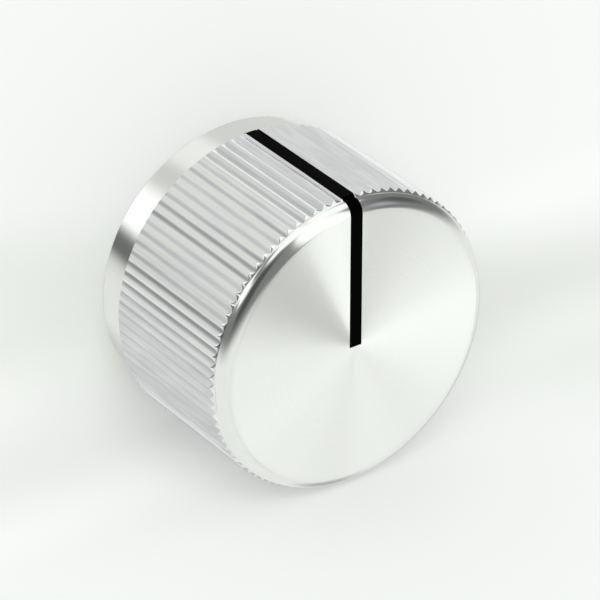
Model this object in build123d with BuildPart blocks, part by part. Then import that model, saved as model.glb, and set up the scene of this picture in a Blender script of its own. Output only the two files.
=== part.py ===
"""Control knob turned from one bar of aluminium, in millimetres.

The knob stands on its rear rim. +Z is the shaft axis and points to the front face, and the
pointer line runs from the axis towards -Y. The origin is the centre of the rear rim.
"""

import os
from math import cos, radians, sin, tan

from build123d import *

os.makedirs("parts", exist_ok=True)

# Outside of the knob
knob_height = 16.0
grip_radius = 12.0  # over the crests of the flutes
flute_depth = 0.2
blank_step = 0.02  # the turned blank lies this far under the roots of the flutes
edge_radius = 0.88  # rounded front edge
crest_slope_run = 0.27  # length of the slope at each end of a crest
band_length = 2.8  # plain band between the rear rim and the flutes
rear_radius = 11.35
rear_edge_chamfer = 0.12

# Flutes
flute_count = 90
flute_phase = 1.5  # degrees from the pointer line to the next crest

# Shaft side
shaft_radius = 3.0
shaft_clearance = 0.03
shaft_depth = 9.5  # depth of the round bore behind the recess
drill_angle = 118.0
bore_chamfer = 0.3
recess_radius = 8.0  # clears the nut and washer of the part that the knob sits on
recess_depth = 2.5
recess_chamfer = 0.3

# Pointer line
pointer_width = 1.05
pointer_depth = 0.3
enamel_inset = 0.05  # the enamel lies this far under the metal
pointer_past_flutes = 0.1

# Set screw
screw_radius = 1.5
screw_length = 6.0
screw_height = 7.0  # from the rear rim to the screw's axis
screw_clearance = 0.02
screw_tip_gap = 0.1  # the cup point stops this far short of the bore
screw_chamfer = 0.25
socket_across_flats = 1.5
socket_depth = 1.8
cup_radius = 0.85
cup_depth = 0.4
hole_countersink = 0.3

# Values worked out from the sizes above
root_radius = grip_radius - flute_depth
blank_radius = root_radius - blank_step
bore_radius = shaft_radius + shaft_clearance
bore_end = recess_depth + shaft_depth
tap_radius = screw_radius + screw_clearance
flute_pitch = 360 / flute_count
turning_allowance = flute_depth / 2


def turned_section(inset, crest_radius):
    """Half section of the outside, inset under the metal, with its grip at crest_radius."""
    band_top = blank_radius - inset
    slope_run = crest_slope_run * (crest_radius - band_top) / (grip_radius - blank_radius)
    edge_start = knob_height - edge_radius
    centre = (blank_radius - edge_radius, edge_start)
    with BuildSketch() as section:
        with BuildLine():
            axis = Line((0, 0), (0, knob_height - inset))
            Line(axis @ 1, (centre[0], knob_height - inset))
            edge = CenterArc(centre, edge_radius - inset, 90, -90)
            Polyline(
                edge @ 1,
                (crest_radius, edge_start - slope_run),
                (crest_radius, band_length + slope_run),
                (band_top, band_length),
                (rear_radius - inset, 0),
                axis @ 0,
            )
        make_face()
    return section.sketch


def pointer_section():
    """Section of the pointer groove along its length: all that lies above its floor."""
    floor_radius = blank_radius - pointer_depth
    floor_height = knob_height - pointer_depth
    above = knob_height + 1
    outside = grip_radius + 1
    end_height = band_length - pointer_past_flutes
    centre = (edge_radius - blank_radius, knob_height - edge_radius)
    with BuildSketch() as section:
        with BuildLine():
            start = Line((0, above), (0, floor_height))
            Line(start @ 1, (centre[0], floor_height))
            corner = CenterArc(centre, edge_radius - pointer_depth, 90, 90)
            Polyline(
                corner @ 1,
                (-floor_radius, end_height),
                (-outside, end_height),
                (-outside, above),
                start @ 0,
            )
        make_face()
    return section.sketch


def flute_outline():
    """Closed outline round the crests and roots of all flutes, each a straight-sided V."""
    corners = []
    for flute in range(flute_count):
        crest = -90 + flute_phase + flute * flute_pitch
        root = crest + flute_pitch / 2
        for angle, radius in ((crest, grip_radius), (root, root_radius)):
            corners.append((radius * cos(radians(angle)), radius * sin(radians(angle))))
    with BuildSketch() as outline:
        with BuildLine():
            Polyline(*corners, close=True)
        make_face()
    return outline.sketch


with BuildPart() as knob_body:
    # Turned blank, a little over the crests so that the flutes are cut clean
    with BuildSketch(Plane.XZ):
        add(turned_section(0, grip_radius + turning_allowance))
    revolve(axis=Axis.Z)
    rear_rim = knob_body.edges().filter_by(GeomType.CIRCLE).group_by(Axis.Z)[0]
    chamfer(rear_rim, rear_edge_chamfer)

    # Straight flutes, from the rear band to beyond the front face
    with BuildSketch(Plane.XY.offset(band_length)):
        Circle(grip_radius + 1)
        add(flute_outline(), mode=Mode.SUBTRACT)
    extrude(amount=knob_height - band_length + 1, mode=Mode.SUBTRACT)

    # Recess and blind round bore from behind, with the cone that the drill leaves
    rear = Plane(origin=(0, 0, 0), x_dir=(1, 0, 0), z_dir=(0, 0, -1))
    with Locations(rear):
        CounterBoreHole(bore_radius, recess_radius, recess_depth, bore_end)
    rear_mouth = knob_body.edges().filter_by(GeomType.CIRCLE).group_by(Axis.Z)[0]
    chamfer(rear_mouth.sort_by(SortBy.RADIUS)[0], recess_chamfer)
    recess_floor = knob_body.edges().filter_by_position(Axis.Z, recess_depth, recess_depth)
    chamfer(recess_floor.sort_by(SortBy.RADIUS)[0], bore_chamfer)
    cone_height = bore_radius / tan(radians(drill_angle / 2))
    with Locations((0, 0, bore_end)):
        Cone(bore_radius, 0, cone_height, align=(Align.CENTER, Align.CENTER, Align.MIN), mode=Mode.SUBTRACT)

    # Tapped hole for the set screw, opposite the pointer line
    grip_side = Plane(origin=(0, grip_radius, screw_height), x_dir=(1, 0, 0), z_dir=(0, 1, 0))
    with Locations(grip_side):
        CounterSinkHole(tap_radius, tap_radius + hole_countersink, grip_radius, 90)

    # Pointer groove
    with BuildSketch(Plane.YZ):
        add(pointer_section())
    extrude(amount=pointer_width / 2, both=True, mode=Mode.SUBTRACT)
knob_body.part.label = "knob_body"
export_step(knob_body.part, "parts/knob_body.step")

with BuildPart() as pointer_fill:
    with BuildSketch(Plane.XZ):
        add(turned_section(enamel_inset, grip_radius - enamel_inset))
    revolve(axis=Axis.Z)
    with BuildSketch(Plane.YZ):
        add(pointer_section())
    extrude(amount=pointer_width / 2, both=True, mode=Mode.INTERSECT)
pointer_fill.part.label = "pointer_fill"
export_step(pointer_fill.part, "parts/pointer_fill.step")

screw_tip = bore_radius + screw_tip_gap
screw_seat = Plane(origin=(0, screw_tip, screw_height), x_dir=(1, 0, 0), z_dir=(0, 1, 0))
with BuildPart() as set_screw:
    with BuildSketch(screw_seat):
        Circle(screw_radius)
    extrude(amount=screw_length)
    chamfer(set_screw.edges().filter_by(GeomType.CIRCLE), screw_chamfer)
    with BuildSketch(screw_seat.offset(screw_length)):
        RegularPolygon(socket_across_flats / 2, 6, major_radius=False)
    extrude(amount=-socket_depth, mode=Mode.SUBTRACT)
    with BuildSketch(screw_seat):
        Circle(cup_radius)
    extrude(amount=cup_depth, taper=45, mode=Mode.SUBTRACT)
set_screw.part.label = "set_screw"
export_step(set_screw.part, "parts/set_screw.step")
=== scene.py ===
"""Looks of the turned control knob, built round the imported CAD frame.

The knob stands on its rear rim with its shaft axis along +Z and its pointer line towards -Y.
Every length is in metres and every angle in degrees unless a name says otherwise.
"""

from collections import namedtuple
from math import radians, tan

import bmesh
import bpy
import numpy as np
from bpy.props import FloatProperty, FloatVectorProperty, IntProperty, PointerProperty
from mathutils import Matrix, Vector


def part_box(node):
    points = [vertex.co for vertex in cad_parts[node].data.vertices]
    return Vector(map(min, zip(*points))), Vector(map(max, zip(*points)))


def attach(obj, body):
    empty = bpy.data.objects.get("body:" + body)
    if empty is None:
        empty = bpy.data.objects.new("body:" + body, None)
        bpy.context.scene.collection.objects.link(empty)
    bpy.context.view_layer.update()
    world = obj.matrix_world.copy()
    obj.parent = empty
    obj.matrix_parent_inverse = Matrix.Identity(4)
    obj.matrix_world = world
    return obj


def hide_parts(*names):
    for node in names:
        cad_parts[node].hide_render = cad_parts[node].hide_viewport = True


bl_info = {
    "name": "Control knob looks",
    "version": (1, 0, 0),
    "blender": (4, 5, 0),
    "location": "3D View > Sidebar > Control knob",
    "description": "Turned aluminium knob, its enamelled pointer line, its set screw and a pale studio",
    "category": "Object",
}

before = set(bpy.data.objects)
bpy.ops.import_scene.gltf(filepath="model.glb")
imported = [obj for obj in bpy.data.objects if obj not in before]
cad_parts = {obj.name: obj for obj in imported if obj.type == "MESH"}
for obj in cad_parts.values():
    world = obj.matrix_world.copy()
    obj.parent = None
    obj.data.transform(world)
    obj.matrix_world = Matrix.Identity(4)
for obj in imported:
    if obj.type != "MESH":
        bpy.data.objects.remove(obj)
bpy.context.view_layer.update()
KNOB_HEIGHT = round(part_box("knob_body")[1].z, 5)
GRIP_RADIUS = round(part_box("knob_body")[1].y, 5)
SCREW_HEIGHT = round((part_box("set_screw")[0].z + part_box("set_screw")[1].z) / 2, 5)
MM = 0.001

SHARP_ANGLE = 30
DRILL_HALF_ANGLE = 59
GROOVE_POINTS = 9  # points of each ring that lie in the pointer groove
TURNOVER = 0.08 * MM  # length over which a crest turns into its slope

# radius of the fine ring of painted shade where the face meets the rounded edge
RIM_SHADE_RADIUS = 11.03 * MM
LEAN_FROM = 11.5 * MM  # radius where the polished edge's normal starts to lean outwards
LEAN_TO = 10.95 * MM  # radius where it leans by its full angle
PAINTED_LIGHT_SIDE = (0.743, -0.669, 0)  # direction where the flute roots take their deepest painted shade and the flutes a painted highlight


def length(name, description, default):
    """A length that a user can change, in metres."""
    return FloatProperty(name=name, description=description, default=default, unit="LENGTH", precision=5)


def colour(name, description, default):
    """A linear colour that a user can change."""
    return FloatVectorProperty(
        name=name, description=description, default=default, subtype="COLOR", size=3, min=0, max=1
    )


def share(name, description, default):
    """A number from 0 to 1 that a user can change."""
    return FloatProperty(
        name=name, description=description, default=default, min=0, max=1, subtype="FACTOR"
    )


class KnobSizes(bpy.types.PropertyGroup):
    """Sizes of the turned body."""

    flute_depth: length("Flute depth", "From the crest of a flute to its root", 0.2 * MM)
    blank_step: length("Blank step", "How far the turned blank lies under the roots", 0.02 * MM)
    edge_radius: length("Edge radius", "Radius of the rounded front edge", 0.88 * MM)
    slope_run: length("Slope run", "Length of the slope at each end of a crest", 0.27 * MM)
    band_length: length("Band length", "Plain band behind the flutes", 2.8 * MM)
    rear_radius: length("Rear radius", "Radius of the rear rim", 11.35 * MM)
    rear_chamfer: length("Rear chamfer", "Chamfer round the rear rim", 0.12 * MM)
    flute_count: IntProperty(name="Flutes", description="Flutes round the grip", default=90, min=3)
    flute_phase: FloatProperty(
        name="Flute phase", description="Degrees from the pointer line to the next crest", default=1.5
    )
    bore_radius: length("Bore radius", "Radius of the shaft bore", 3.03 * MM)
    bore_end: length("Bore end", "Where the round bore ends, from the rear rim", 12 * MM)
    bore_chamfer: length("Bore chamfer", "Chamfer at the mouth of the bore", 0.3 * MM)
    recess_radius: length("Recess radius", "Radius of the rear recess", 8 * MM)
    recess_depth: length("Recess depth", "Depth of the rear recess", 2.5 * MM)
    recess_chamfer: length("Recess chamfer", "Chamfer at the mouth of the recess", 0.3 * MM)
    tap_radius: length("Tapped radius", "Outer radius of the tapped hole's thread", 1.52 * MM)
    countersink: length("Countersink", "Countersink round the tapped hole", 0.3 * MM)


class PointerSizes(bpy.types.PropertyGroup):
    """Sizes of the pointer groove and its enamel."""

    width: length("Width", "Width of the pointer groove", 1.05 * MM)
    depth: length("Depth", "Depth of the pointer groove", 0.3 * MM)
    inset: length("Inset", "How far the enamel lies under the metal", 0.05 * MM)
    past_flutes: length("Past the flutes", "Groove behind the rear end of the flutes", 0.1 * MM)


class FinishSettings(bpy.types.PropertyGroup):
    """Colours of the finishes."""

    aluminium: colour("Aluminium", "Clear anodised aluminium", (0.9, 0.91, 0.9))
    enamel: colour("Enamel", "Black enamel of the pointer line", (0.0012, 0.0009, 0.0009))
    steel: colour("Screw steel", "Blackened steel of the set screw", (0.3, 0.3, 0.32))


class StudioSettings(bpy.types.PropertyGroup):
    """Camera and light."""

    view_azimuth: FloatProperty(
        name="Azimuth", description="Camera, round the shaft axis", default=44.389
    )
    view_elevation: FloatProperty(
        name="Elevation", description="Camera, above the rear rim", default=44.473
    )
    view_distance: length("Distance", "From the camera to the point it looks at", 307.58 * MM)
    background: colour("Background", "Paper as the camera sees it", (0.905, 0.93, 0.905))
    shading: share("Paper shading", "Share of the paper's look that takes shadows", 0.7)
    sky_light: share("Sky light", "Brightness that the room gives to the paper", 0.6)
    lamp_light: share("Lamp light", "Brightness that the lamp gives to paper that faces it", 0.35)
    lamp_softness: FloatProperty(
        name="Lamp softness", description="Width of the lamp in degrees", default=50
    )
    open_light: share("Open light", "Share of that light which unshaded paper takes", 0.845)


class KnobLooks(bpy.types.PropertyGroup):
    """All that a user can change."""

    knob: PointerProperty(type=KnobSizes)
    pointer: PointerProperty(type=PointerSizes)
    finish: PointerProperty(type=FinishSettings)
    studio: PointerProperty(type=StudioSettings)


# Mesh helpers


def ring_faces(rings, columns):
    """Quads of a grid that is closed round its columns, numbered row by row."""
    row, column = np.meshgrid(np.arange(rings - 1), np.arange(columns), indexing="ij")
    following = (column + 1) % columns
    corners = (
        row * columns + column,
        row * columns + following,
        (row + 1) * columns + following,
        (row + 1) * columns + column,
    )
    return np.stack(corners, axis=-1).reshape(-1, 4)


def make_piece(name, points, faces, face_materials, materials):
    """A mesh object from arrays, with doubles merged and edges sharp past an angle."""
    mesh = bpy.data.meshes.new(name)
    mesh.from_pydata(points.reshape(-1, 3), [], faces)
    for material in materials:
        mesh.materials.append(material)
    mesh.polygons.foreach_set("material_index", np.asarray(face_materials, np.int32))
    together = 0.2e-6
    work = bmesh.new()
    work.from_mesh(mesh)
    bmesh.ops.remove_doubles(work, verts=work.verts, dist=together)
    bmesh.ops.dissolve_degenerate(work, edges=work.edges, dist=together / 2)
    work.to_mesh(mesh)
    work.free()
    mesh.shade_smooth()
    mesh.set_sharp_from_angle(angle=radians(SHARP_ANGLE))
    piece = bpy.data.objects.new(name, mesh)
    bpy.context.scene.collection.objects.link(piece)
    return piece


def cut(piece, cutter):
    """Takes the cutter out of the piece, applies the result and deletes the cutter."""
    modifier = piece.modifiers.new("cut", "BOOLEAN")
    modifier.operation = "DIFFERENCE"
    modifier.solver = "EXACT"
    modifier.object = cutter
    bpy.context.view_layer.update()
    finished = piece.evaluated_get(bpy.context.evaluated_depsgraph_get())
    old = piece.data
    mesh = bpy.data.meshes.new_from_object(finished)
    piece.modifiers.clear()
    piece.data = mesh
    mesh.name = piece.name
    bpy.data.meshes.remove(old)
    bpy.data.objects.remove(cutter)
    mesh.set_sharp_from_angle(angle=radians(SHARP_ANGLE))


def soften(piece, low, high):
    """Shades smooth across the edges whose two ends both lie between two heights."""
    mesh = piece.data
    places = np.zeros(len(mesh.vertices) * 3, np.float32)
    mesh.vertices.foreach_get("co", places)
    height = places.reshape(-1, 3)[:, 2]
    ends = np.zeros(len(mesh.edges) * 2, np.int32)
    mesh.edges.foreach_get("vertices", ends)
    inside = ((height > low) & (height < high))[ends.reshape(-1, 2)].all(axis=1)
    sharp = np.zeros(len(mesh.edges), bool)
    mesh.edges.foreach_get("use_edge_sharp", sharp)
    mesh.edges.foreach_set("use_edge_sharp", sharp & ~inside)


# Material helpers


def add(tree, kind, **settings):
    """A node of that kind with its settings made."""
    made = tree.nodes.new(kind)
    for name, value in settings.items():
        setattr(made, name, value)
    return made


def feed(tree, socket, value):
    """Gives a socket a link where value is a socket, and a number or colour otherwise."""
    if isinstance(value, bpy.types.NodeSocket):
        tree.links.new(value, socket)
    else:
        socket.default_value = value


def maths(tree, operation, *values):
    """Result of a Math node."""
    made = add(tree, "ShaderNodeMath", operation=operation)
    for index, value in enumerate(values):
        feed(tree, made.inputs[index], value)
    return made.outputs[0]


def vectors(tree, operation, *values):
    """Vector or number that a Vector Math node gives."""
    made = add(tree, "ShaderNodeVectorMath", operation=operation)
    for index, value in enumerate(values):
        feed(tree, made.inputs[index], value)
    return made.outputs["Value" if operation in ("DOT_PRODUCT", "LENGTH") else "Vector"]


def remap(tree, value, start, end, low, high, smooth=True):
    """Value carried from start..end to low..high and held there."""
    made = add(tree, "ShaderNodeMapRange", interpolation_type="SMOOTHSTEP" if smooth else "LINEAR")
    names = ("Value", "From Min", "From Max", "To Min", "To Max")
    for name, number in zip(names, (value, start, end, low, high)):
        feed(tree, made.inputs[name], number)
    return made.outputs["Result"]


def blend_colours(tree, factor, first, second):
    """First colour blended with the second by a factor."""
    made = add(tree, "ShaderNodeMix", data_type="RGBA")
    feed(tree, made.inputs["Factor"], factor)
    feed(tree, made.inputs["A"], first)
    feed(tree, made.inputs["B"], second)
    return made.outputs["Result"]


def new_material(name):
    """An empty material with its shader and its output joined."""
    material = bpy.data.materials.new(name)
    material.use_nodes = True
    tree = material.node_tree
    tree.nodes.clear()
    shader = add(tree, "ShaderNodeBsdfPrincipled")
    output = add(tree, "ShaderNodeOutputMaterial")
    tree.links.new(shader.outputs[0], output.inputs["Surface"])
    return material, tree, shader


def object_place(tree):
    """Object coordinates: the place on the knob, in metres."""
    return add(tree, "ShaderNodeTexCoord").outputs["Object"]


def noise(tree, place, scale, detail=2.0, roughness=0.5, dimensions="3D"):
    """Noise from 0 to 1 at a place."""
    made = add(tree, "ShaderNodeTexNoise", noise_dimensions=dimensions)
    feed(tree, made.inputs["W" if dimensions == "1D" else "Vector"], place)
    made.inputs["Scale"].default_value = scale
    made.inputs["Detail"].default_value = detail
    made.inputs["Roughness"].default_value = roughness
    return made.outputs[0]


def stretched_noise(tree, place, per_metre, detail, roughness=0.5):
    """Noise at a place, with its own count of features per metre along X, Y and Z."""
    return noise(tree, vectors(tree, "MULTIPLY", place, per_metre), 1.0, detail, roughness)


def line_noise(tree, distance, per_metre, detail, roughness):
    """Noise along one distance, which makes lines across it."""
    return noise(tree, maths(tree, "MULTIPLY", distance, per_metre), 1.0, detail, roughness, "1D")


def bump(tree, height, distance, normal=None):
    """Normal of a surface raised by height times distance."""
    made = add(tree, "ShaderNodeBump")
    made.inputs["Strength"].default_value = 1.0
    made.inputs["Distance"].default_value = distance
    feed(tree, made.inputs["Height"], height)
    if normal is not None:
        feed(tree, made.inputs["Normal"], normal)
    return made.outputs[0]


# Finishes


def metal(name, base, roughness, anisotropy):
    """A bare metal shader with uniform roughness and anisotropy."""
    material, tree, shader = new_material(name)
    shader.inputs["Base Color"].default_value = (*base, 1)
    shader.inputs["Metallic"].default_value = 1.0
    shader.inputs["Roughness"].default_value = roughness
    shader.inputs["Anisotropic"].default_value = anisotropy
    return material, tree, shader


def scaled(tree, vector, factor):
    """A colour or a direction times a factor."""
    made = vectors(tree, "SCALE", vector)
    feed(tree, made.node.inputs["Scale"], factor)
    return made


def axis_radius(tree, place):
    """Direction straight out from the shaft axis, and the distance to it."""
    flat = vectors(tree, "MULTIPLY", place, (1, 1, 0))
    return vectors(tree, "NORMALIZE", flat), vectors(tree, "LENGTH", flat)


def leaning(tree, outward, slope):
    """The surface's normal, leaning away from the shaft axis by a slope."""
    facing = add(tree, "ShaderNodeNewGeometry").outputs["Normal"]
    return vectors(tree, "NORMALIZE", vectors(tree, "ADD", facing, scaled(tree, outward, slope)))


def rim_shade_line(tree, radius):
    """Tone of a fine ring of painted shade where the face meets the rounded edge: a dip across the
    radius.
    """
    off_line = maths(tree, "ABSOLUTE", maths(tree, "SUBTRACT", radius, RIM_SHADE_RADIUS))
    return remap(tree, off_line, 0.02 * MM, 0.08 * MM, 0.98, 1.0)


def spun_face(finish):
    """Face with fine concentric turning lines, which spread its highlights along the radius.

    Each fine ridge leans outwards by its own few degrees, as a tool fed from the middle leaves it.
    """
    least_slope = tan(radians(-1))
    most_slope = tan(radians(15))
    material, tree, shader = metal("spun_face", finish.aluminium, 0.2, 1.0)
    place = object_place(tree)
    outward, radius = axis_radius(tree, place)
    tree.links.new(outward, shader.inputs["Tangent"])
    ridges = line_noise(tree, radius, 80000, 1.0, 0.5)
    slope = remap(tree, ridges, 0.2, 0.8, least_slope, most_slope, smooth=False)
    lines = line_noise(tree, radius, 9000, 3.0, 0.7)
    tone = remap(tree, lines, 0.25, 0.75, 0.96, 1.0, smooth=False)
    # a fine ring of painted shade darkens the face at its rim
    tone = maths(tree, "MULTIPLY", tone, rim_shade_line(tree, radius))
    tree.links.new(scaled(tree, finish.aluminium, tone), shader.inputs["Base Color"])
    tree.links.new(leaning(tree, outward, slope), shader.inputs["Normal"])
    return material


def round_tangent(tree, shader):
    """Tangent that runs round the shaft axis."""
    place = object_place(tree)
    around = vectors(tree, "CROSS_PRODUCT", (0, 0, 1), place)
    tree.links.new(vectors(tree, "NORMALIZE", around), shader.inputs["Tangent"])
    return place


def polished_edge(finish):
    """Rounded front edge: polished, meeting the spun face at a slight angle."""
    most_slope = tan(radians(14))
    material, tree, shader = metal("polished_edge", finish.aluminium, 0.13, 0.3)
    place = round_tangent(tree, shader)
    outward, radius = axis_radius(tree, place)
    scratches = remap(tree, stretched_noise(tree, place, (700, 700, 5000), 2.0), 0.3, 0.7, 1.02, 1.05)
    # the same fine ring of painted shade darkens the edge where it meets the face
    tone = maths(tree, "MULTIPLY", scratches, rim_shade_line(tree, radius))
    tree.links.new(scaled(tree, finish.aluminium, tone), shader.inputs["Base Color"])
    slope = remap(tree, radius, LEAN_FROM, LEAN_TO, 0.0, most_slope)
    tree.links.new(leaning(tree, outward, slope), shader.inputs["Normal"])
    return material


def fluted_grip(finish):
    """Flutes: satin and a little cool, with uneven tool lines.

    Painted shade darkens their roots, so the crests stay lighter. It is deepest on one side of the
    knob, where the flutes also take a painted highlight, and its depth differs from flute to flute.
    """
    material, tree, shader = metal("fluted_grip", finish.aluminium, 0.15, 0.3)
    place = round_tangent(tree, shader)
    outward, radius = axis_radius(tree, place)
    uneven = stretched_noise(tree, place, (2200, 2200, 260), 2.0)
    lines = stretched_noise(tree, place, (9000, 9000, 500), 3.0, 0.6)
    each = stretched_noise(tree, place, (700, 700, 30), 1.0)
    # painted light and shade on one side of the knob: deeper painted shade in the roots and a painted
    # highlight on the flutes
    side = vectors(tree, "DOT_PRODUCT", outward, PAINTED_LIGHT_SIDE)
    painted_side = remap(tree, side, 0.72, 0.95, 0.0, 1.0)
    shade_depth = maths(tree, "MULTIPLY", painted_side, remap(tree, each, 0.35, 0.6, 0.35, 1.0))
    root_tone = maths(tree, "MULTIPLY_ADD", shade_depth, -0.6, 0.99)
    root = GRIP_RADIUS - 0.19 * MM
    crest = GRIP_RADIUS - 0.06 * MM
    # painted shade in the roots, fading to none at the crests
    root_shade = remap(tree, radius, root, crest, root_tone, 1.0)
    # tone that differs at random, plus a painted highlight on that one side
    tone_and_sheen = maths(tree, "MULTIPLY_ADD", painted_side, 0.12, remap(tree, uneven, 0.3, 0.7, 1.07, 0.95))
    tone = maths(tree, "MULTIPLY", root_shade, tone_and_sheen)
    cool = vectors(tree, "MULTIPLY", scaled(tree, finish.aluminium, tone), (1, 1, 1.035))
    tree.links.new(cool, shader.inputs["Base Color"])
    rough = bump(tree, lines, 3e-6, bump(tree, uneven, 12e-6))
    tree.links.new(rough, shader.inputs["Normal"])
    return material


def turned_band(finish):
    """Plain band behind the flutes, finely turned."""
    material, tree, shader = metal("turned_band", finish.aluminium, 0.15, 0.3)
    place = round_tangent(tree, shader)
    lines = stretched_noise(tree, place, (300, 300, 16000), 2.0)
    tone = remap(tree, lines, 0.3, 0.7, 0.97, 1.0)
    tree.links.new(scaled(tree, finish.aluminium, tone), shader.inputs["Base Color"])
    return material


def bored_inside(finish):
    """Rear rim, recess, bore, drilled hole and groove, with the round marks of a coarser tool."""
    material, tree, shader = metal("bored_inside", finish.aluminium, 0.32, 0.6)
    place = round_tangent(tree, shader)
    radius = axis_radius(tree, place)[1]
    parts = add(tree, "ShaderNodeSeparateXYZ")
    tree.links.new(place, parts.inputs[0])
    height = parts.outputs[2]
    marks = line_noise(tree, maths(tree, "ADD", radius, height), 5000, 2.0, 0.6)
    tone = remap(tree, marks, 0.3, 0.7, 0.72, 0.9, smooth=False)
    tree.links.new(scaled(tree, finish.aluminium, tone), shader.inputs["Base Color"])
    tree.links.new(bump(tree, marks, 2e-6), shader.inputs["Normal"])
    return material


def black_enamel(finish):
    """Black enamel, satin."""
    material, tree, shader = new_material("black_enamel")
    place = object_place(tree)
    clouds = noise(tree, place, 1500.0, 3.0)
    tone = remap(tree, clouds, 0.3, 0.7, 0.6, 1.0)
    tree.links.new(scaled(tree, finish.enamel, tone), shader.inputs["Base Color"])
    tree.links.new(remap(tree, clouds, 0.3, 0.7, 0.35, 0.5), shader.inputs["Roughness"])
    tree.links.new(bump(tree, noise(tree, place, 6000.0, 2.0), 1e-6), shader.inputs["Normal"])
    shader.inputs["Specular IOR Level"].default_value = 0.01
    return material


def screw_steel(finish):
    """Blackened steel of the set screw."""
    return metal("screw_steel", finish.steel, 0.4, 0.2)[0]


# Turned body


def flute_radius(sizes, angle):
    """Radius of the grip at an angle: a wave of straight flanks with its crests and roots rounded.

    The wave is the angle's distance from the nearest crest as a share of half a pitch. Its ends
    are eased by a cosine, so a flank is straight in the middle and turns over at crest and root.
    """
    pitch = 360 / sizes.flute_count
    turn = (angle + 90 - sizes.flute_phase) / pitch
    fall = np.abs(turn - np.round(turn)) * 2
    eased = (1 - np.cos(np.pi * fall)) / 2
    straight = 0.7
    return GRIP_RADIUS - sizes.flute_depth * (straight * fall + (1 - straight) * eased)


def blank_radius(sizes):
    """Radius of the turned blank, just under the roots of the flutes."""
    return GRIP_RADIUS - sizes.flute_depth - sizes.blank_step


def groove_angle(half_width, radius):
    """Angle at the axis, in degrees, between the pointer line and its groove's edge."""
    return np.degrees(np.arcsin(np.minimum(half_width / radius, 1)))


def coarse_angles(angles):
    """Angles rounded to even degrees, for the inside, which needs fewer columns than the flutes."""
    step = 2.0
    return np.round(angles / step) * step


def body_rings(sizes, pointer):
    """Rings of the body from the tip of the drilled bore, out over the rim and up to the face.

    Each ring is (radius, height, kind). On the flutes the radius is None and the height is the
    ring's place in words, because both change from crest to root.
    """
    blank = blank_radius(sizes)
    taper = (blank - sizes.rear_radius) / sizes.band_length
    edge_start = KNOB_HEIGHT - sizes.edge_radius
    drill_tip = sizes.bore_end + sizes.bore_radius / tan(radians(DRILL_HALF_ANGLE))
    chamfer = sizes.rear_chamfer
    groove_end = sizes.band_length - pointer.past_flutes
    rings = [
        (0, drill_tip, "inside"),
        (sizes.bore_radius, sizes.bore_end, "inside"),
        (sizes.bore_radius, sizes.recess_depth + sizes.bore_chamfer, "inside"),
        (sizes.bore_radius + sizes.bore_chamfer, sizes.recess_depth, "inside"),
        (sizes.recess_radius, sizes.recess_depth, "inside"),
        (sizes.recess_radius, sizes.recess_chamfer, "inside"),
        (sizes.recess_radius + sizes.recess_chamfer, 0, "inside"),
        (sizes.rear_radius - chamfer, 0, "band"),
        (sizes.rear_radius + taper * chamfer, chamfer, "band"),
        (sizes.rear_radius + taper * groove_end, groove_end, "band"),
        (sizes.rear_radius + taper * groove_end, groove_end, "grooved"),
        (blank, sizes.band_length, "grooved"),
        (None, "rear slope", "grooved"),
        (None, "behind rear slope", "grooved"),
        (None, "middle", "grooved"),
        (None, "before front slope", "grooved"),
        (None, "front slope", "grooved"),
    ]
    for step in np.linspace(0, 90, 13):
        radius = blank - sizes.edge_radius * (1 - np.cos(np.radians(step)))
        rings.append((radius, edge_start + sizes.edge_radius * np.sin(np.radians(step)), "edge"))
    centre = blank - sizes.edge_radius
    half_width = pointer.width / 2
    for part in (0.97, 0.85, 0.7, 0.55, 0.4, 0.28, 0.19, 0.12, 0.075):
        rings.append((centre * part, KNOB_HEIGHT, "face"))
    for part in (1, 2 / 3, 1 / 3, 0):
        rings.append((half_width * part, KNOB_HEIGHT, "face"))
    return rings


def body_columns(sizes, pointer):
    """Angles of the columns round the body, from one edge of the groove to the other."""
    samples = 16
    step = 360 / sizes.flute_count / samples
    angles = -90 + sizes.flute_phase + step * np.arange(-samples, sizes.flute_count * samples)
    clear = groove_angle(pointer.width / 2, GRIP_RADIUS) + 0.1
    return angles[(angles > -90 + clear) & (angles < 270 - clear)]


def ring_angles(kind, radius, sizes, pointer):
    """Angles of a ring's points on the metal, from one edge of the groove to the other.

    On the face they close up towards the axis. Elsewhere they keep to their columns, as far as
    the groove's edge lets them.
    """
    half_width = pointer.width / 2
    blank = blank_radius(sizes)
    fixed = body_columns(sizes, pointer)
    smallest = 1e-9
    at_groove = blank if radius is None or kind == "inside" else max(radius, smallest)
    edge = groove_angle(half_width, at_groove)
    if kind == "face":
        at_centre = groove_angle(half_width, blank - sizes.edge_radius)
        spread = (fixed + 90 - at_centre) / (360 - 2 * at_centre)
        angles = -90 + edge + (360 - 2 * edge) * spread
    else:
        angles = np.clip(fixed, -90 + edge, 270 - edge)
    angles = np.concatenate(([-90 + edge], angles, [270 - edge]))
    return coarse_angles(angles) if kind == "inside" else angles


def flute_heights(sizes, radii, place):
    """Heights of a ring of the flutes with those radii, at a place along them."""
    blank = blank_radius(sizes)
    edge_start = KNOB_HEIGHT - sizes.edge_radius
    slope = sizes.slope_run / (GRIP_RADIUS - blank)
    rise = slope * (radii - blank)
    heights = {
        "rear slope": sizes.band_length + rise,
        "behind rear slope": sizes.band_length + rise + TURNOVER,
        "middle": np.full(len(radii), (sizes.band_length + edge_start) / 2),
        "before front slope": edge_start - rise - TURNOVER,
        "front slope": edge_start - rise,
    }
    return heights[place]


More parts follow.
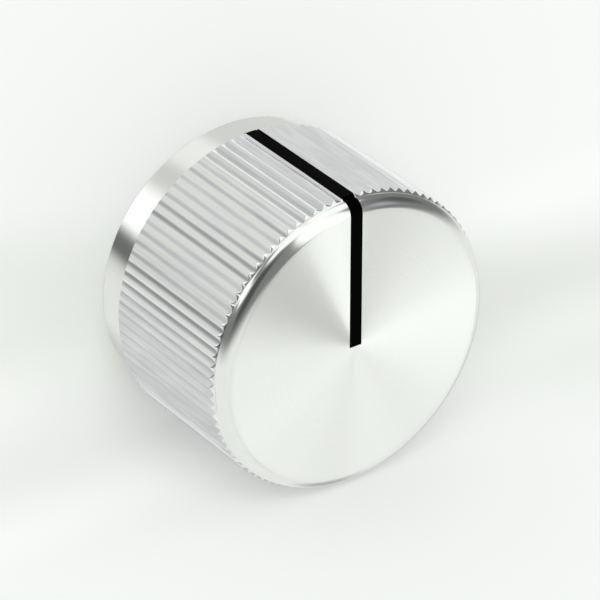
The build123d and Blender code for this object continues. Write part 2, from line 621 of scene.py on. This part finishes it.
def body_grid(sizes, pointer):
    """Points of the whole body, one row a ring, with the groove's section as its last columns.

    Round the metal a point is its ring's radius and height at the column's angle. The columns
    after those go down one wall of the groove, over its floor and up the other wall.
    """
    rows = []
    for radius, height, kind in body_rings(sizes, pointer):
        angles = ring_angles(kind, radius, sizes, pointer)
        if radius is None:
            radii = flute_radius(sizes, angles)
            heights = flute_heights(sizes, radii, height)
        else:
            radii = np.full(len(angles), radius)
            heights = np.full(len(angles), height)
        turn = np.radians(angles)
        ring = np.stack([radii * np.cos(turn), radii * np.sin(turn), heights], axis=1)
        section = groove_section(ring, kind, radius, height, sizes, pointer)
        rows.append(np.concatenate([ring, section]))
    return np.array(rows)


def groove_section(ring, kind, radius, height, sizes, pointer):
    """Points that close a ring across the pointer: wall foot, seven of the floor, wall foot.

    Inside and on the band, where there is no groove, they follow the ring.
    """
    half_width = pointer.width / 2
    floor = np.array([-1, -2 / 3, -1 / 3, 0, 1 / 3, 2 / 3, 1])
    across = half_width * np.concatenate(([-1], floor, [1]))
    blank = blank_radius(sizes)
    if kind == "inside":
        half_gap = 2.5
        angles = np.linspace(-90 - half_gap, -90 + half_gap, len(across))
        turn = np.radians(coarse_angles(angles))
        across, depth, along = radius * np.cos(turn), radius * np.sin(turn), height
    elif kind == "band":
        depth = -np.sqrt(np.maximum(radius**2 - across**2, 0))
        along = height
    elif kind == "grooved":
        depth = -(blank - pointer.depth)
        along = np.linspace(ring[-1][2], ring[0][2], len(across))
    elif kind == "edge":
        edge_start = KNOB_HEIGHT - sizes.edge_radius
        floor_edge = sizes.edge_radius - pointer.depth
        turn = np.arcsin(np.clip((height - edge_start) / sizes.edge_radius, 0, 1))
        depth = -(blank - sizes.edge_radius + floor_edge * np.cos(turn))
        along = edge_start + floor_edge * np.sin(turn)
    else:
        reach = min(radius, half_width)
        across = np.clip(across, -reach, reach)
        depth = -np.sqrt(max(radius**2 - reach**2, 0))
        along = KNOB_HEIGHT - pointer.depth
    return np.stack(np.broadcast_arrays(across, depth, along), axis=1)


def body_materials(rings, columns):
    """Which finish each face takes: its first ring's, and the plain one in the groove.

    The band goes on as far as the flutes, and the face starts at the last ring of the edge.
    """
    finish_of = {"inside": 3, "band": 1, "grooved": 0, "edge": 2, "face": 4}
    kinds = [ring[2] for ring in rings]
    first_grooved = kinds.index("grooved")
    chosen = np.zeros((len(rings) - 1, columns), int)
    for row, kind in enumerate(kinds[:-1]):
        chosen[row] = finish_of[kind]
    chosen[first_grooved] = finish_of["band"]
    chosen[kinds.index("face") - 1 :] = finish_of["face"]
    chosen[first_grooved - 1 :, columns - GROOVE_POINTS - 1 :] = finish_of["inside"]
    return chosen.reshape(-1)


def screw_hole_cutter(sizes, material):
    """Round cutter along +Y: a circle swept along the screw's axis, wider at the countersink.

    It starts within the bore and ends outside the flutes. The countersink's cone is at 45 degrees.
    """
    sides = 64
    start = 0.2 * MM
    outside = GRIP_RADIUS + sizes.countersink * 2
    profile = (
        (0, start),
        (sizes.tap_radius, start),
        (sizes.tap_radius, GRIP_RADIUS - sizes.countersink),
        (sizes.tap_radius + sizes.countersink * 3, outside),
        (0, outside),
    )
    radius, along = np.array(profile).T
    turn = np.linspace(0, 2 * np.pi, sides, endpoint=False)
    across = radius[:, None] * np.cos(turn)
    height = SCREW_HEIGHT - radius[:, None] * np.sin(turn)
    points = np.stack(np.broadcast_arrays(across, along[:, None], height), axis=-1)
    faces = ring_faces(len(profile), sides)
    return make_piece("screw_hole_cutter", points, faces, np.zeros(len(faces)), [material])


class KNOB_OT_turned_body(bpy.types.Operator):
    """Build the turned and fluted aluminium body"""

    bl_idname = "knob.turned_body"
    bl_label = "Turned body"

    def execute(self, context):
        looks = context.scene.knob_looks
        sizes, pointer, finish = looks.knob, looks.pointer, looks.finish
        points = body_grid(sizes, pointer)
        rings, columns = points.shape[:2]
        faces = ring_faces(rings, columns)
        inside = bored_inside(finish)
        materials = [
            fluted_grip(finish),
            turned_band(finish),
            polished_edge(finish),
            inside,
            spun_face(finish),
        ]
        chosen = body_materials(body_rings(sizes, pointer), columns)
        piece = make_piece("turned_body", points, faces, chosen, materials)
        cutter = screw_hole_cutter(sizes, inside)
        cut(piece, cutter)
        edge_start = KNOB_HEIGHT - sizes.edge_radius
        margin = 0.02 * MM
        soften(piece, edge_start - sizes.slope_run - margin, edge_start + margin)
        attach(piece, "root")
        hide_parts("knob_body")
        return {"FINISHED"}


class KNOB_OT_pointer_enamel(bpy.types.Operator):
    """Fill the pointer groove with black enamel"""

    bl_idname = "knob.pointer_enamel"
    bl_label = "Pointer enamel"

    def execute(self, context):
        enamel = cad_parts["pointer_fill"]
        enamel.data.materials.clear()
        enamel.data.materials.append(black_enamel(context.scene.knob_looks.finish))
        return {"FINISHED"}


class KNOB_OT_set_screw(bpy.types.Operator):
    """Finish the set screw"""

    bl_idname = "knob.set_screw"
    bl_label = "Set screw"

    def execute(self, context):
        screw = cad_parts["set_screw"]
        screw.data.materials.clear()
        screw.data.materials.append(screw_steel(context.scene.knob_looks.finish))
        return {"FINISHED"}


# Studio

LAMP_FROM = (0.35, -0.7, 0.7)
COVE_REACH = GRIP_RADIUS
PICTURE_UP = (-0.2945, -0.8602, -0.4163)  # direction that is up in the photograph
SHADE_BAND_TOP = (-2 * MM, 4.5 * MM)  # along PICTURE_UP, where the band of painted shade ends upwards
SHADE_BAND_FOOT = (-6 * MM, -14 * MM)  # and where it ends downwards
SHADE_BAND_TONE = (0.92, 0.925, 0.9)
Card = namedtuple("Card", "place half_size soft brightness slant flare", defaults=(0, 0))

# Cards and openings of the room that the metal mirrors. Each has its azimuth from +Z towards +X
# and its elevation above the photograph's table, its half width and half height, how soft those
# edges are, and its brightness. Slant and flare are how many degrees its middle moves and its
# half width grows for each degree of elevation. A later card hangs in front of an earlier one.
STUDIO_CARDS = {
    "back_paper": Card((174, 20), (52, 33), (6, 6), 0.7),
    "ceiling": Card((0, 90), (181, 35), (10, 4), 1.07),
    "camera_side": Card((50, 30), (22, 22), (8, 8), 0.08),
    "camera_top": Card((44, 58), (24, 7), (8, 5), 0.2),
    "window": Card((-18.8, 18.5), (13.2, 43.5), (1, 4), 1.14, slant=0.275, flare=0.275),
    "window_top": Card((-36, 56), (10, 7), (3, 4), 0.95),
    "left_sill": Card((85, 35), (6, 7), (4, 4), 0.7),
    "left_softbox": Card((112, 31), (19, 8), (3, 4), 1.3),
    "left_stand": Card((114, 5), (8, 8), (3, 4), 0.18),
    "back_lamp": Card((158, 12), (9, 9), (3, 4), 1.25),
    "lamp_foot": Card((150, -3), (7, 6), (3, 3), 0.1),
    "back_shade": Card((164, 32), (20, 6), (6, 6), 0.6),
    "side_glow": Card((-172, 21), (10, 10), (4, 4), 0.95),
    "side_paper": Card((-134, 16), (7, 14), (4, 5), 0.95),
    "left_edge": Card((128, 52), (8, 6), (4, 4), 0.12),
    "back_table": Card((139, -28), (12, 14), (5, 5), 0.62),
    "bright_table": Card((-48, -34), (26, 8), (8, 5), 1.16),
    "window_foot": Card((-13, -11), (8, 11), (5, 6), 0.2),
    "low_shade": Card((179, -45), (16, 6), (6, 5), 0.5),
    "low_left": Card((-18, -51), (8, 6), (5, 5), 0.76),
    "far_table": Card((-130, -42), (26, 14), (10, 8), 0.62),
    "low_side": Card((-160, -40), (14, 8), (6, 6), 0.62),
    "own_shade": Card((-90, -66), (30, 6), (12, 5), 0.45),
    "dark_side": Card((-72, 25), (16, 12), (9, 8), 0.1),
    "cool_lamp": Card((-45, 16), (6, 6), (4, 4), 0.4),
}


def paper(settings):
    """Pale paper with no back, which takes a share of its look from the light.

    What the light gives it where nothing is in the way is made up to the paper's plain tone by
    its own glow. A soft band of painted shade crosses the paper, where the tone dips a little.
    Near the corner between the floor and the back sheet both shade as a round cove does, so they
    meet without a line: the direction that they face turns from +Z to -Y.
    """
    shading = settings.shading
    light = (settings.sky_light + settings.lamp_light) * settings.open_light
    material = bpy.data.materials.new("paper")
    material.use_nodes = True
    tree = material.node_tree
    tree.nodes.clear()
    height = vectors(tree, "DOT_PRODUCT", object_place(tree), PICTURE_UP)
    # painted shade: a soft band across the paper where its tone dips
    above = remap(tree, height, *SHADE_BAND_TOP, 0.0, 1.0)
    below = remap(tree, height, *SHADE_BAND_FOOT, 0.0, 1.0)
    plain = maths(tree, "MAXIMUM", above, below)
    tone = blend_colours(tree, plain, (*SHADE_BAND_TONE, 1), (1, 1, 1, 1))
    sheet_colour = vectors(tree, "MULTIPLY", tone, settings.background)
    glow = add(tree, "ShaderNodeEmission")
    tree.links.new(sheet_colour, glow.inputs["Color"])
    glow.inputs["Strength"].default_value = 1 - shading
    lit = add(tree, "ShaderNodeBsdfDiffuse")
    tree.links.new(scaled(tree, sheet_colour, shading / light), lit.inputs["Color"])
    place = add(tree, "ShaderNodeSeparateXYZ")
    tree.links.new(object_place(tree), place.inputs[0])
    facing = add(tree, "ShaderNodeCombineXYZ")
    tree.links.new(remap(tree, place.outputs[1], 0, COVE_REACH, 0.0, -1.0), facing.inputs[1])
    tree.links.new(remap(tree, place.outputs[2], 0, COVE_REACH, 1.0, 0.0), facing.inputs[2])
    tree.links.new(vectors(tree, "NORMALIZE", facing.outputs[0]), lit.inputs["Normal"])
    mixed = add(tree, "ShaderNodeAddShader")
    tree.links.new(glow.outputs[0], mixed.inputs[0])
    tree.links.new(lit.outputs[0], mixed.inputs[1])
    clear = add(tree, "ShaderNodeBsdfTransparent")
    shown = add(tree, "ShaderNodeMixShader")
    tree.links.new(add(tree, "ShaderNodeNewGeometry").outputs["Backfacing"], shown.inputs[0])
    tree.links.new(mixed.outputs[0], shown.inputs[1])
    tree.links.new(clear.outputs[0], shown.inputs[2])
    output = add(tree, "ShaderNodeOutputMaterial")
    tree.links.new(shown.outputs[0], output.inputs["Surface"])
    return material


def sheet(name, corners, material):
    """A flat four-cornered stage surface that only the camera sees."""
    mesh = bpy.data.meshes.new(name)
    mesh.from_pydata(corners, [], [(0, 1, 2, 3)])
    mesh.materials.append(material)
    made = bpy.data.objects.new(name, mesh)
    bpy.context.scene.collection.objects.link(made)
    made.visible_glossy = False
    made.visible_diffuse = False
    made.visible_transmission = False
    made.visible_shadow = False


def hang(tree, room, direction, name, tint):
    """The room with one soft-edged card hung in it.

    The card's mask is a smooth step across its width times one across its height.
    """
    hung = STUDIO_CARDS[name]
    azimuth, elevation = direction
    raised = maths(tree, "SUBTRACT", elevation, hung.place[1])
    across = maths(tree, "SUBTRACT", azimuth, hung.place[0])
    slanted = maths(tree, "MULTIPLY_ADD", raised, -hung.slant, across)
    turned = maths(tree, "WRAP", slanted, 180.0, -180.0)
    width = maths(tree, "MULTIPLY_ADD", raised, -hung.flare, maths(tree, "ABSOLUTE", turned))
    masks = []
    for distance, half, edge in zip((width, maths(tree, "ABSOLUTE", raised)), hung.half_size, hung.soft):
        masks.append(remap(tree, distance, half + edge, half - edge, 0.0, 1.0))
    mask = maths(tree, "MULTIPLY", *masks)
    seen = blend_colours(tree, mask, room, (*(hung.brightness * tint), 1))
    seen.node.label = name
    return seen


def studio_room(tree):
    """Colour that the metal sees in each direction: a pale table, a dark room and its cards."""
    direction = add(tree, "ShaderNodeTexCoord").outputs["Generated"]
    parts = add(tree, "ShaderNodeSeparateXYZ")
    tree.links.new(direction, parts.inputs[0])
    x, y, z = parts.outputs
    azimuth = maths(tree, "DEGREES", maths(tree, "ARCTAN2", x, z))
    elevation = maths(tree, "DEGREES", maths(tree, "ARCSINE", maths(tree, "MULTIPLY", y, -1.0)))
    looked_at = (azimuth, elevation)
    horizon = remap(tree, elevation, -16.0, 3.0, 0.0, 1.0)
    warm = np.array((0.98, 1.0, 0.96))
    cool = np.array((0.92, 0.95, 1.08))
    room = blend_colours(tree, horizon, (*(0.85 * warm), 1), (*(0.2 * warm), 1))
    room.node.label = "table"
    for name in STUDIO_CARDS:
        room = hang(tree, room, looked_at, name, cool if name == "cool_lamp" else warm)
    return room


def studio_world(settings):
    """World: plain to the camera, a room with cards to the metal, and even to the paper.

    What the paper sees mirrored in the metal is the knob's own shade, so there the room is dim.
    """
    own_shade = 0.35
    world = bpy.data.worlds.new("studio")
    bpy.context.scene.world = world
    world.use_nodes = True
    tree = world.node_tree
    tree.nodes.clear()
    path = add(tree, "ShaderNodeLightPath").outputs
    plain = maths(tree, "MAXIMUM", path["Is Camera Ray"], path["Is Transmission Ray"])
    sky = settings.sky_light
    seen = blend_colours(tree, path["Is Diffuse Ray"], studio_room(tree), (sky, sky, sky, 1))
    from_paper = maths(tree, "MINIMUM", path["Diffuse Depth"], 1.0)
    mirrored = maths(tree, "MULTIPLY", path["Is Glossy Ray"], from_paper)
    seen = blend_colours(tree, mirrored, seen, (own_shade, own_shade, own_shade, 1))
    seen = blend_colours(tree, plain, seen, (*settings.background, 1))
    background = add(tree, "ShaderNodeBackground")
    tree.links.new(seen, background.inputs["Color"])
    output = add(tree, "ShaderNodeOutputWorld")
    tree.links.new(background.outputs[0], output.inputs["Surface"])


def soft_lamp(settings):
    """Broad soft light that gives the paper the knob's shadow."""
    light = bpy.data.lights.new("soft_lamp", "SUN")
    light.energy = settings.lamp_light * np.pi
    light.angle = radians(settings.lamp_softness)
    lamp = bpy.data.objects.new("soft_lamp", light)
    lamp.visible_glossy = False
    lamp.matrix_world = Vector(LAMP_FROM).to_track_quat("Z", "Y").to_matrix().to_4x4()
    bpy.context.scene.collection.objects.link(lamp)


def photo_camera(settings):
    """Camera at the photograph's place, with its picture upright along the pointer line."""
    azimuth = radians(settings.view_azimuth)
    elevation = radians(settings.view_elevation)
    flat = np.cos(elevation)
    back = Vector((np.sin(azimuth) * flat, -np.cos(azimuth) * flat, np.sin(elevation)))
    aim = Vector((-0.764 * MM, 0.249 * MM, KNOB_HEIGHT / 2))
    upright = Vector((0.0018, -1, 0))
    right = upright.cross(back).normalized()
    up = back.cross(right)
    data = bpy.data.cameras.new("photo_camera")
    picture_pixels = 600
    focal_pixels = 4169.7
    data.sensor_width = 36
    data.lens = data.sensor_width * focal_pixels / picture_pixels
    data.clip_start = 0.01
    data.clip_end = 10
    camera = bpy.data.objects.new("photo_camera", data)
    turned = Matrix((right, up, back)).transposed().to_4x4()
    camera.matrix_world = Matrix.Translation(aim + back * settings.view_distance) @ turned
    bpy.context.scene.collection.objects.link(camera)
    bpy.context.scene.camera = camera


class KNOB_OT_studio(bpy.types.Operator):
    """Lay the paper, light it and place the camera"""

    bl_idname = "knob.studio"
    bl_label = "Studio"

    def execute(self, context):
        settings = context.scene.knob_looks.studio
        pale = paper(settings)
        reach = 0.8
        floor = [(-reach, -reach, 0), (reach, -reach, 0), (reach, reach, 0), (-reach, reach, 0)]
        sheet("floor", floor, pale)
        behind = GRIP_RADIUS + 0.05 * MM
        wall = [(-reach, behind, 0), (reach, behind, 0), (reach, behind, reach), (-reach, behind, reach)]
        sheet("back_sheet", wall, pale)
        soft_lamp(settings)
        studio_world(settings)
        photo_camera(settings)
        context.scene.view_settings.view_transform = "Standard"
        return {"FINISHED"}


class KNOB_PT_looks(bpy.types.Panel):
    """Lists the pieces of the knob"""

    bl_idname = "KNOB_PT_looks"
    bl_label = "Control knob"
    bl_space_type = "VIEW_3D"
    bl_region_type = "UI"
    bl_category = "Control knob"

    def draw(self, context):
        for operator in STEPS:
            self.layout.operator(operator.bl_idname)


STEPS = (KNOB_OT_turned_body, KNOB_OT_pointer_enamel, KNOB_OT_set_screw, KNOB_OT_studio)
GROUPS = (KnobSizes, PointerSizes, FinishSettings, StudioSettings, KnobLooks)


def register():
    """Registers the settings, the operators and the panel."""
    for item in (*GROUPS, *STEPS, KNOB_PT_looks):
        bpy.utils.register_class(item)
    bpy.types.Scene.knob_looks = PointerProperty(type=KnobLooks)


def unregister():
    """Takes back what register added."""
    del bpy.types.Scene.knob_looks
    for item in reversed((*GROUPS, *STEPS, KNOB_PT_looks)):
        bpy.utils.unregister_class(item)


def main():
    """Builds every piece in order."""
    register()
    bpy.ops.knob.turned_body()
    bpy.ops.knob.pointer_enamel()
    bpy.ops.knob.set_screw()
    bpy.ops.knob.studio()


if __name__ == "__main__":
    main()
